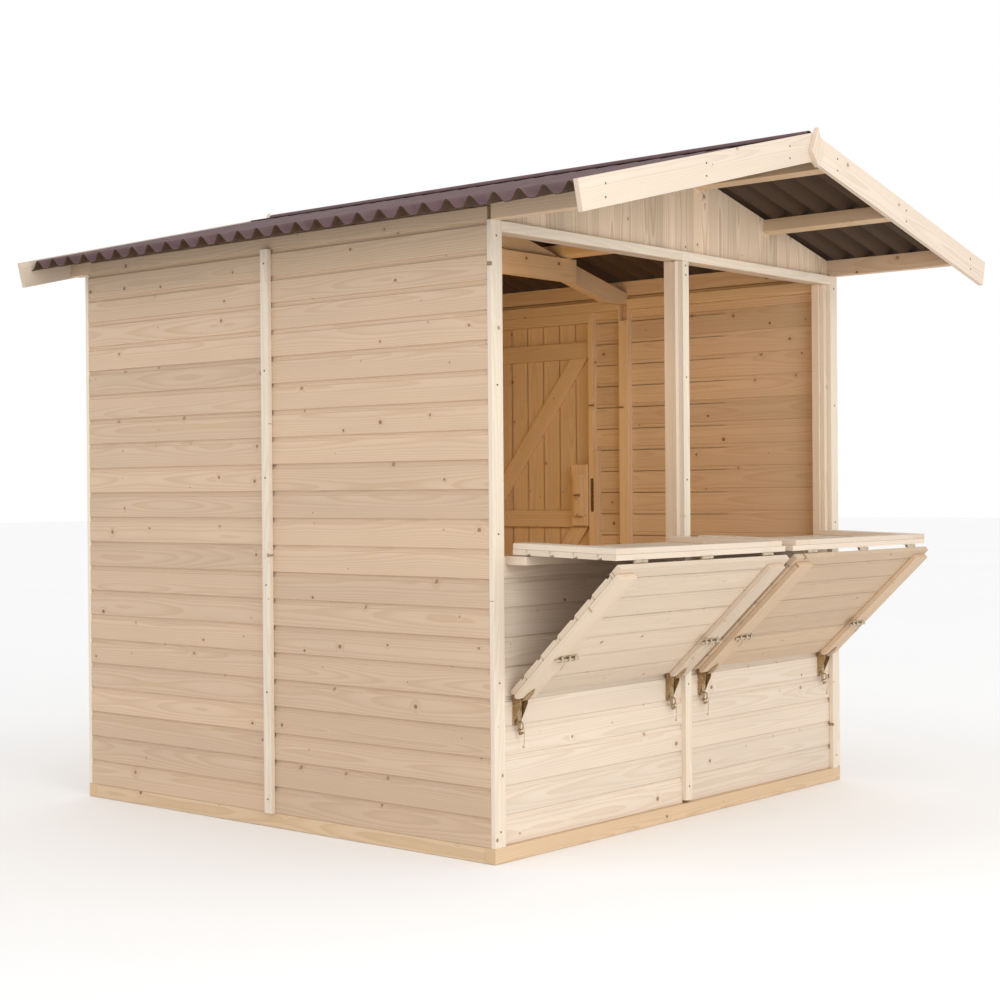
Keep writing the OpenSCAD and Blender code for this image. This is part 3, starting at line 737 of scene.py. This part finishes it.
def roof_sheets(side, node):
    """The corrugated sheeting of one slope, drawn as a single sheet."""
    lo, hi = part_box(node)
    run = (hi.x - lo.x) / math.cos(pitch) - (EAVE_SHORT if side > 0 else 0)
    swing = (WAVE_H * math.cos(pitch) - SHEET_T - 0.0005) / 2
    waves = round((hi.y - lo.y) / WAVE)
    wave = (hi.y - lo.y) / waves
    fine = 16
    clear()
    bpy.ops.mesh.primitive_grid_add(
        x_subdivisions=4, y_subdivisions=fine, size=1, location=(side * run / 2, wave / 2, 0))
    ob = bpy.context.object
    ob.scale = (run, wave, 1)
    settle(ob)
    for i in range(fine + 1):
        y = wave * i / fine
        pick_edges(ob, lambda a, b: abs(a.y - y) < 1e-4 and abs(b.y - y) < 1e-4)
        arch = (0.5 - 0.5 * math.cos(math.tau * i / fine)) ** ARCH
        bpy.ops.transform.translate(value=(0, 0, swing * (2 * arch - 1)))
        close()
    more = ob.modifiers.new("waves", "ARRAY")
    more.count, more.use_relative_offset, more.use_constant_offset = waves, False, True
    more.constant_offset_displace = (0, wave, 0)
    more.use_merge_vertices, more.merge_threshold = True, 0.0004
    bpy.ops.object.modifier_apply(modifier=more.name)
    wall = ob.modifiers.new("wall", "SOLIDIFY")
    wall.thickness, wall.offset = SHEET_T, 0
    bpy.ops.object.modifier_apply(modifier=wall.name)
    ob.data.transform(Matrix.Rotation(side * pitch, 4, "Y"))
    mid = Vector((0, lo.y, hi.z - WAVE_H / 2))
    ob.data.transform(Matrix.Translation(mid))
    under = [1.0 if f.normal.z < 0 else 0.0 for f in ob.data.polygons]
    write(ob.data, "under", "FLOAT", "FACE", np.array(under))
    return piece(node + "_waves", [ob], roofing, "stall", "roof_sheet", node, smooth=40)


roof_sheets(1, "roof_sheet_right")
roof_sheets(-1, "roof_sheet_left")

# ridge cap: two flanges and a rounded roll
roll_r, flange = 0.022, cap_hi.x
foot_z = cap_lo.z + CAP_T
curl = [(roll_r * math.sin(a), cap_hi.z - 0.016 + roll_r * math.cos(a))
        for a in [math.radians(d) for d in range(-90, 91, 15)]]
profile = [(-flange, foot_z), (-roll_r - 0.006, cap_hi.z - CAP_T - (roll_r + 0.006) * pitch_tan)]
profile += curl + [(-y, z) for y, z in reversed(profile)]
cap = bent([(y, z, cap_hi.y - cap_lo.y) for y, z in profile], CAP_T)
cap.data.transform(Matrix.Translation((0, (cap_lo.y + cap_hi.y) / 2, 0))
                   @ Matrix.Rotation(math.pi / 2, 4, "Z"))
write(cap.data, "under", "FLOAT", "FACE", np.zeros(len(cap.data.polygons)))
piece("ridge_cap_roll", [cap], roofing, "stall", "roof_sheet", "ridge_cap", smooth=40)


# ---- serving leaves ----

def leaf_place(kind, name):
    """A leaf's own frame (x along it, -y away from its pin, z inwards) and its box there."""
    me = frame["nodes"][f"{kind}_leaf_{name}"].data
    face = max(me.polygons, key=lambda f: f.area).normal
    turn = math.atan2(-face.y, face.z) % math.pi
    pin = pins[f"{kind}_{name}_fold"]
    matrix = Matrix.Translation((0, pin.y, pin.z)) @ Matrix.Rotation(turn, 4, "X")
    back = matrix.inverted()
    places = np.array([back @ v.co for v in me.vertices])
    return matrix, Vector(places.min(0)), Vector(places.max(0))


def soften_foot(ob, foot_y, width=0.006):
    """Bevels the two long edges at a leaf timber's far end."""
    pick_edges(ob, lambda a, b: max(a.y, b.y) < foot_y + 1e-4 and abs(a.x - b.x) > 0.02)
    bpy.ops.mesh.bevel(offset=width, segments=1, affect="EDGES")
    close()
    return ob


leaf_frames = {(kind, name): leaf_place(kind, name)
               for kind in ("counter", "prop") for _, name in SIDES}


def leaf(kind, side, name, first):
    """The boards and battens of one leaf. The first board joint lies this far from the pin."""
    node = f"{kind}_leaf_{name}"
    matrix, lo, hi = leaf_frames[kind, name]
    parts = []
    foot = first - COVER
    while foot < -lo.y:
        ob = twin(board(hi.x - lo.x), (lo.x, -foot, lo.z + WALL_T), ("X", math.pi / 2))
        cut(ob, (0, hi.y, 0), (0, 1, 0))
        cut(ob, (0, lo.y, 0), (0, -1, 0))
        if foot + COVER > -lo.y and kind == "prop":
            soften_foot(ob, lo.y)
        parts.append(grain(ob))
        foot += COVER
    inner, outer = (lo.x, hi.x) if side > 0 else (hi.x, lo.x)
    z = (lo.z + WALL_T + GAP, hi.z)
    start = hi.y - (BATTEN_DROP if kind == "prop" else 0)
    x_in = inner + side * BATTEN_INSET
    spans = [sorted((x_in, x_in + side * BATTEN_W)), sorted((outer, outer - side * BATTEN_W))]
    for x in spans:
        batten = block(x, (lo.y, start), z)
        if kind == "prop":
            soften_foot(batten, lo.y)
        parts.append(grain(ease(batten)))
    if kind == "counter":
        left_end, right_end = sorted(spans)
        x = (left_end[1] + GAP, right_end[0] - GAP)
        parts.append(grain(ease(block(x, (lo.y, lo.y + RAIL_W), z))))
    for part in parts:
        part.data.transform(matrix)
    # the right prop leaf takes the darker, warmer copy of the leaf wood, which is painted shade
    wood = front_wood if kind == "counter" else leaf_wood if side < 0 else right_leaf_wood_painted_shade
    piece(node + "_boards", parts, wood, f"{kind}_{name}", "front_wood", node)


for side, name in SIDES:
    leaf("counter", side, name, 0.078)
    leaf("prop", side, name, 0.064)

# ---- hinges of the leaves ----

def knuckles(radius, length, middle):
    """A hinge barrel of five knuckles on a pin with rounded ends."""
    barrel = rod(radius, length, middle, "X", 16)
    for i in range(1, 5):
        at = middle[0] + length * (i / 5 - 0.5)
        for shift in (-0.0004, 0.0004):
            open_all(barrel)
            bpy.ops.mesh.bisect(plane_co=(at + shift, 0, 0), plane_no=(1, 0, 0))
            close()
        pick_faces(barrel, lambda c, n: abs(c.x - at) < 0.0003 and abs(n.x) < 0.5)
        bpy.ops.transform.resize(value=(1, 0.86, 0.86), center_override=middle)
        close()
    return ease(barrel, 0.0005, 2, 50)


def hinge_plate(y, z):
    """A flat hinge plate with rounded corners."""
    plate = block((-HINGE_L / 2, HINGE_L / 2), y, z)
    pick_edges(plate, lambda a, b: abs(a.z - b.z) > 1e-5)
    bpy.ops.mesh.bevel(offset=0.003, segments=2, affect="EDGES")
    close()
    return plate


wall_pins = sorted(set(round(v.co.x, 4) for v in frame["nodes"]["leaf_hinges_right"].data.vertices))
hinge_x = [sum(pair) / 2 for pair in zip(wall_pins[::2], wall_pins[1::2])]
HINGE_L = wall_pins[1] - wall_pins[0]
sill_lo, sill_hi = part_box("sill_rails")
for side, name in SIDES:
    wall_pin, leaf_pin = pins[f"counter_{name}_fold"], pins[f"prop_{name}_fold"]
    counter_at, counter_lo, counter_hi = leaf_frames["counter", name]
    prop_at, prop_lo, prop_hi = leaf_frames["prop", name]
    counter_z = (counter_lo.z - PLATE_T, counter_lo.z)
    hinge_lo, hinge_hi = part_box("leaf_hinges_" + name)
    leaf_knuckle_r = leaf_pin.z - hinge_lo.z
    wall_knuckle_r = hinge_hi.y - wall_pin.y
    on_counter, on_prop, on_wall = [], [], []
    for x in hinge_x:
        x *= side
        on_counter.append(knuckles(wall_knuckle_r, HINGE_L, (x, wall_pin.y, wall_pin.z)))
        on_counter.append(knuckles(leaf_knuckle_r, HINGE_L, (x, leaf_pin.y, leaf_pin.z)))
        near = hinge_plate((counter_hi.y - PLATE_FAR, counter_hi.y - PLATE_NEAR), counter_z)
        far = hinge_plate((counter_lo.y + PLATE_NEAR, counter_lo.y + PLATE_FAR), counter_z)
        for plate in (near, far):
            plate.data.transform(counter_at @ Matrix.Translation((x, 0, 0)))
            on_counter.append(plate)
        plate = hinge_plate((prop_hi.y - PLATE_FAR, prop_hi.y - PLATE_NEAR),
                            (prop_lo.z - PLATE_T, prop_lo.z))
        plate.data.transform(prop_at @ Matrix.Translation((x, 0, 0)))
        on_prop.append(plate)
        plate = hinge_plate((sill_lo.y + PLATE_NEAR, sill_lo.y + SILL_PLATE_FAR),
                            (sill_hi.z, sill_hi.z + PLATE_T))
        plate.data.transform(Matrix.Translation((x, 0, 0)))
        on_wall.append(plate)
    piece(f"leaf_hinge_barrels_{name}", on_counter, zinc, f"counter_{name}", "hinge_metal",
          f"leaf_hinges_{name}", smooth=35)
    piece(f"prop_hinge_plates_{name}", on_prop, zinc, f"prop_{name}", "hinge_metal", smooth=35)
    piece(f"sill_hinge_plates_{name}", on_wall, zinc, "stall", "hinge_metal", smooth=35)

# ---- barrel bolts on the prop leaves ----

def barrel_bolt():
    """A bolt of round bar in three straps on a plate, drawn with its face towards +Z."""
    bar_z = 0.0065
    plate = block((-0.044, 0.044), (-0.016, 0.016), (0, PLATE_T))
    pick_edges(plate, lambda a, b: abs(a.z - b.z) > 1e-5)
    bpy.ops.mesh.bevel(offset=0.004, segments=3, affect="EDGES")
    close()
    parts = [plate, ease(rod(0.0045, BOLT_L, (0.004, 0, bar_z), "X", 12), 0.0008, 2, 50)]
    for x in (-0.034, -0.004, 0.034):
        arch = [(0.0105 * math.cos(a), 0.0018 + 0.0100 * math.sin(a))
                for a in [math.radians(d) for d in range(0, 181, 20)]]
        arch = [(0.0150, 0.0018)] + arch + [(-0.0150, 0.0018)]
        strap = bent([(y, z, 0.009) for y, z in arch], 0.0012)
        strap.data.transform(Matrix.Translation((x, 0, 0)))
        parts.append(strap)
    handle = wire([(0.015, 0, bar_z), (0.015, -0.004, 0.012), (0.015, -0.013, 0.017),
                   (0.015, -0.034, 0.018)], 0.0030)
    parts.append(handle)
    for x in (-0.019, 0.024):
        for y in (0.012, -0.012):
            parts += set_screw((x, y, PLATE_T), "Z")
    return parts


bolt = barrel_bolt()
for side, name in SIDES:
    at, lo, hi = leaf_frames["prop", name]
    parts = []
    inner, outer = (lo.x, hi.x) if side > 0 else (hi.x, lo.x)
    for x, way in ((inner + side * BOLT_INNER, -side), (outer - side * BOLT_OUTER, side)):
        flip = Matrix.Rotation(math.pi if way < 0 else 0, 4, "Z")
        handle_down = Matrix.Scale(way, 4, (0, 1, 0))
        place = at @ Matrix.Translation((x, -BOLT_DOWN, hi.z)) @ flip @ handle_down
        for part in bolt:
            copy = twin(part)
            copy.data.transform(place)
            if way < 0:
                copy.data.flip_normals()
            parts.append(copy)
    piece(f"barrel_bolts_{name}", parts, zinc, f"prop_{name}", "hinge_metal", smooth=35)
for part in bolt:
    drop(part)

# ---- brackets that hold the prop leaves ----

bracket_lo, bracket_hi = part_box("leaf_brackets")


def bracket():
    """A bent cup under the leaf's end on a tapered stem, with the ring for a hook."""
    wide, wall_y, low_z = BRACKET_W, bracket_hi.y, bracket_lo.z
    at, leaf_lo, leaf_hi = leaf_frames["prop", "right"]
    up = at.to_3x3() @ Vector((0, 1, 0))
    under_y = leaf_lo.y - GAP - 0.002
    heel = at @ Vector((0, under_y, leaf_lo.z))
    toe = at @ Vector((0, under_y, leaf_hi.z + 0.002))
    lip, tip = toe + up * 0.030, toe + up * 0.052
    cup = bent([(tip.y, tip.z, wide * 0.15), (lip.y, lip.z, wide * 0.85),
                (toe.y, toe.z, wide), (heel.y, heel.z, wide),
                (wall_y - 0.016, heel.z - 0.012, wide),
                (wall_y - 0.014, low_z + 0.055, wide * 0.6),
                (wall_y - 0.013, low_z + 0.012, wide * 0.4),
                (wall_y - 0.019, low_z, wide * 0.38),
                (wall_y - 0.026, low_z + 0.004, wide * 0.38),
                (wall_y - 0.026, low_z + 0.011, wide * 0.38)], BRACKET_T)
    parts = [ease(cup, 0.0006, 1, 50)]
    # wall strip that the stem is screwed to
    strip_y = wall_y - 0.002
    parts.append(bent([(strip_y, heel.z + 0.012, wide * 0.9), (strip_y, heel.z - 0.03, wide),
                       (strip_y, low_z + 0.03, wide * 0.55)], BRACKET_T))
    # side cheeks from the cup down to the stem
    for side in (-1, 1):
        middle = side * wide / 2
        cheek = block((middle - 0.001, middle + 0.001), (toe.y + 0.004, wall_y),
                      (low_z + 0.03, heel.z - 0.004))
        cut(cheek, (0, toe.y, toe.z - 0.002), up)
        cut(cheek, (0, toe.y, toe.z - 0.004), (0, -1, -0.48))
        parts.append(ease(cheek, 0.0005, 1, 50))
    for z in (heel.z - 0.022, low_z + 0.045):
        parts += set_screw((0, wall_y - 0.0035, z), "-Y")
    ring = [(0.0, wall_y - 0.020 - 0.010 * math.sin(a), low_z + 0.030 + 0.013 * math.cos(a))
            for a in [math.tau * k / 16 for k in range(17)]]
    parts.append(wire(ring, 0.0022))
    return parts


def hook():
    """A thin hook that hangs from the bracket's ring and ends in a small knob."""
    y, low_z = bracket_hi.y - 0.030, bracket_lo.z
    top = low_z + 0.022
    path = [(0.002, y + 0.006, top - 0.006), (0.002, y + 0.002, top + 0.001),
            (0.002, y - 0.003, top), (0.003, y - 0.003, top - 0.012),
            (0.004, y - 0.001, low_z - 0.02), (0.004, y, low_z - 0.034),
            (0.001, y, low_z - 0.040), (-0.003, y, low_z - 0.034)]
    parts = [wire(path, 0.0018)]
    knob = rod(0.0032, 0.006, (0.004, y, low_z - 0.038), "Z", 12)
    parts.append(ease(knob, 0.0012, 2, 50))
    return parts


tips = sorted(set(round(v.co.x, 4) for v in frame["nodes"]["leaf_brackets"].data.vertices
                  if v.co.z < bracket_lo.z + 1e-4))
bracket_x = [sum(pair) / 2 for pair in zip(tips[::2], tips[1::2])]
for name, build, material in (("bracket_plates", bracket, bronze), ("bracket_hooks", hook, zinc)):
    model = build()
    parts = [twin(part, (x, 0, 0)) for x in bracket_x for part in model]
    for part in model:
        drop(part)
    nodes = ["leaf_brackets"] if build is bracket else []
    piece(name, parts, material, "stall", "bracket_metal", *nodes, smooth=35)

# ---- door ----

door_lo, door_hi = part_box("door_leaf")
rows = []
count = math.ceil((door_hi.y - door_lo.y) / COVER)
model = board(door_hi.z - door_lo.z)
for i in range(count):
    ob = twin(model)
    ob.data.transform(Matrix.Rotation(-math.pi / 2, 4, "Y"))
    ob.data.transform(Matrix.Rotation(math.pi / 2, 4, "Z"))
    ob.data.transform(Matrix.Translation((door_lo.x, door_lo.y + (i + 1) * COVER, door_lo.z)))
    cut(ob, (0, door_hi.y, 0), (0, 1, 0))
    cut(ob, (0, door_lo.y, 0), (0, -1, 0))
    rows.append(grain(ob))
piece("door_boards", rows, door_wood, "door", "door_wood", "door_leaf")
piece("door_ledges", from_frame("door_battens", 0.002), door_wood, "door", "door_wood",
      "door_battens")
piece("door_lock_blocks", from_frame("door_lock", 0.003), door_wood, "door", "door_wood",
      "door_lock")

# latch on the lock block: a short bar in a strap with a turned-down handle
lock_lo, lock_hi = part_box("door_lock")
mid_y, mid_z = (lock_lo.y + lock_hi.y) / 2, (lock_lo.z + lock_hi.z) / 2
latch = [ease(block((lock_lo.x - 0.004, lock_lo.x), (mid_y - 0.022, mid_y + 0.014),
                    (mid_z - 0.004, mid_z + 0.004)), 0.001),
         wire([(lock_lo.x - 0.002, mid_y - 0.012, mid_z), (lock_lo.x - 0.014, mid_y - 0.012, mid_z),
               (lock_lo.x - 0.020, mid_y - 0.012, mid_z - 0.006),
               (lock_lo.x - 0.021, mid_y - 0.012, mid_z - 0.020)], 0.003)]
piece("door_latch", latch, bronze, "door", "hinge_metal", smooth=35)

# strap hinges outside
strap_lo, strap_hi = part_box("door_hinges")
swing_pin = pins["door_swing"]
zs = sorted(set(round(v.co.z, 4) for v in frame["nodes"]["door_hinges"].data.vertices))
barrels = [zs[i * 4:(i + 1) * 4] for i in range(3)]
parts = []
plate_lo, plate_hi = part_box("door_hinge_plates")
strap_x = door_hi.x + GAP
pin_r = strap_hi.x - swing_pin.x
for z0, z1, z2, z3 in barrels:
    barrel = rod(pin_r, z3 - z0, (swing_pin.x, swing_pin.y, (z0 + z3) / 2), "Z", 20)
    parts.append(ease(barrel, 0.001, 2, 50))
    strap = block((strap_x, strap_x + STRAP_T), (strap_lo.y, swing_pin.y - 0.001), (z1, z2))
    pick_faces(strap, lambda c, n: n.y < -0.9)
    bpy.ops.transform.resize(value=(1, 1, 0.45), center_override=(0, strap_lo.y, (z1 + z2) / 2))
    close()
    pick_edges(strap, lambda a, b: max(a.y, b.y) < strap_lo.y + 1e-4 and abs(a.x - b.x) > 1e-4)
    bpy.ops.mesh.bevel(offset=0.006, segments=4, affect="EDGES")
    close()
    parts.append(ease(strap, 0.0006, 1, 50))
    for k in range(4):
        y = strap_lo.y + STRAP_SCREW_1 + k * STRAP_SCREW_STEP
        parts += set_screw((strap_x + STRAP_T, y, (z1 + z2) / 2), "X")
piece("door_strap_hinges", parts, zinc, "door", "hinge_metal", "door_hinges", smooth=35)
plates = from_plain("door_hinge_plates", 0.0008)
for z0, z1, z2, z3 in barrels:
    for z in (z0 + 0.016, z3 - 0.016):
        plates += set_screw((plate_lo.x + 0.003, plate_hi.y - 0.012, z), "X")
piece("door_hinge_wall_plates", plates, zinc, "stall", "hinge_metal", "door_hinge_plates",
      smooth=35)

# strike slot in the door post, where the lock's bolt goes
post_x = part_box("right_wall_frame")[0].x
slot_hole = block((post_x - 0.0012, post_x + 0.0002), STRIKE_Y,
                  (mid_z - STRIKE_HALF, mid_z + STRIKE_HALF))
pick_edges(slot_hole, lambda a, b: abs(a.x - b.x) > 1e-5)
bpy.ops.mesh.bevel(offset=0.0075, segments=5, affect="EDGES")
close()
pick_faces(slot_hole, lambda c, n: n.x < -0.9)
bpy.ops.mesh.inset(thickness=0.0025, depth=-0.001)
close()
piece("strike_plate", [slot_hole], dark_metal, "stall", "hinge_metal", smooth=35)

# ---- nails and screws ----

def nails(name, spots):
    """One piece of nail heads, each at its spot and facing its own way."""
    parts = []
    for spot, facing in spots:
        parts += set_screw(spot, facing)
    piece(name, parts, dark_metal, "stall", "hinge_metal", smooth=35)


def upright_nails(node, outer_face, step, inset=0.05):
    """A row of nails up the outer face of every upright timber of a node."""
    spots = []
    for lo, hi in islands(node):
        facing, x, y = outer_face(lo, hi)
        run = hi.z - lo.z - 2 * inset
        rows = max(2, round(run / step) + 1)
        for i in range(rows):
            spots.append(((x, y, lo.z + inset + run * i / (rows - 1)), facing))
    return spots


def end_face(lo, hi):
    """The face towards the front or the back: its way, and the x and y of its middle."""
    mid_x = (lo.x + hi.x) / 2
    return ("-Y", mid_x, lo.y) if lo.y < 0 else ("Y", mid_x, hi.y)


def strip_face(lo, hi):
    """The outer face of a cover strip, on an end wall or on a side wall."""
    mid_x, mid_y = (lo.x + hi.x) / 2, (lo.y + hi.y) / 2
    if abs(mid_x) < 0.5:
        return end_face(lo, hi)
    return ("X", hi.x, mid_y) if mid_x > 0 else ("-X", lo.x, mid_y)


nails("corner_trim_nails", upright_nails("corner_trims", end_face, 0.42))
nails("cover_strip_nails", upright_nails("cover_strips", strip_face, 0.36))
barge_spots = []
for lo, hi in islands("front_bargeboards") + islands("back_bargeboards"):
    side = 1 if hi.x > -lo.x else -1
    out = "-Y" if lo.y < 0 else "Y"
    face_y = lo.y if lo.y < 0 else hi.y
    for part in (0.12, 0.5, 0.9):
        x = side * part * max(hi.x, -lo.x)
        mid = hi.z - abs(x) * pitch_tan - 0.05
        for drop_z in (-0.02, 0.02):
            barge_spots.append(((x, face_y, mid + drop_z), out))
nails("bargeboard_nails", barge_spots)
drop(screw)


# ---- stage, light and camera ----

clear()
bpy.ops.mesh.primitive_plane_add(size=120, location=(0, 0, -0.001))
floor = bpy.context.object
floor.name = "studio_floor"
mat, w, shader = new_material("studio_paper")
shade = w.noise(w.node("TexCoord", "Object"), 0.4, 2.0)
floor.data.materials.append(finish_material(
    mat, shader, w.mix(shade, (0.93, 0.93, 0.93), (0.96, 0.96, 0.96)), 0.9, shine=0.1))

world = bpy.data.worlds.new("studio")
bpy.context.scene.world = world
world.use_nodes = True
world.node_tree.nodes["Background"].inputs["Color"].default_value = (1.0, 1.0, 1.0, 1)
world.node_tree.nodes["Background"].inputs["Strength"].default_value = 1.0


def lamp(name, place, aim, size, power, colour=(1, 1, 1)):
    data = bpy.data.lights.new(name, "AREA")
    data.shape, data.size, data.energy, data.color = "DISK", size, power, colour
    ob = bpy.data.objects.new(name, data)
    ob.location = place
    ob.rotation_euler = (Vector(aim) - Vector(place)).to_track_quat("-Z", "Y").to_euler()
    bpy.context.scene.collection.objects.link(ob)


lamp("key", (-2.2, -5.2, 2.6), (-0.4, -1.2, 0.8), 3.0, 75, (1.0, 0.97, 0.93))
lamp("room", (-0.55, -0.35, 1.75), (1.0, 0.35, 1.1), 0.7, 7.0, (1.0, 0.66, 0.26))
lamp("room_far", (-0.3, 0.1, 0.5), (0.6, -0.2, 1.9), 0.8, 2.2, (1.0, 0.68, 0.30))

heading, dip, roll = math.radians(40.602), math.radians(-0.275), -0.0077
ahead = Vector((math.cos(dip) * math.cos(heading), math.cos(dip) * math.sin(heading), math.sin(dip)))
right = Vector((math.sin(heading), -math.cos(heading), 0))
up = right.cross(ahead)
right = math.cos(roll) * right + math.sin(roll) * up
up = right.cross(ahead)
data = bpy.data.cameras.new("camera")
data.lens, data.sensor_width = 64.45, 36
camera = bpy.data.objects.new("camera", data)
turn = Matrix((right, up, -ahead)).transposed().to_4x4()
camera.matrix_world = Matrix.Translation((-5.303, -4.704, 1.171)) @ turn
bpy.context.scene.collection.objects.link(camera)
bpy.context.scene.camera = camera
bpy.context.scene.view_settings.view_transform = "Standard"

for model in made_boards.values():
    drop(model)
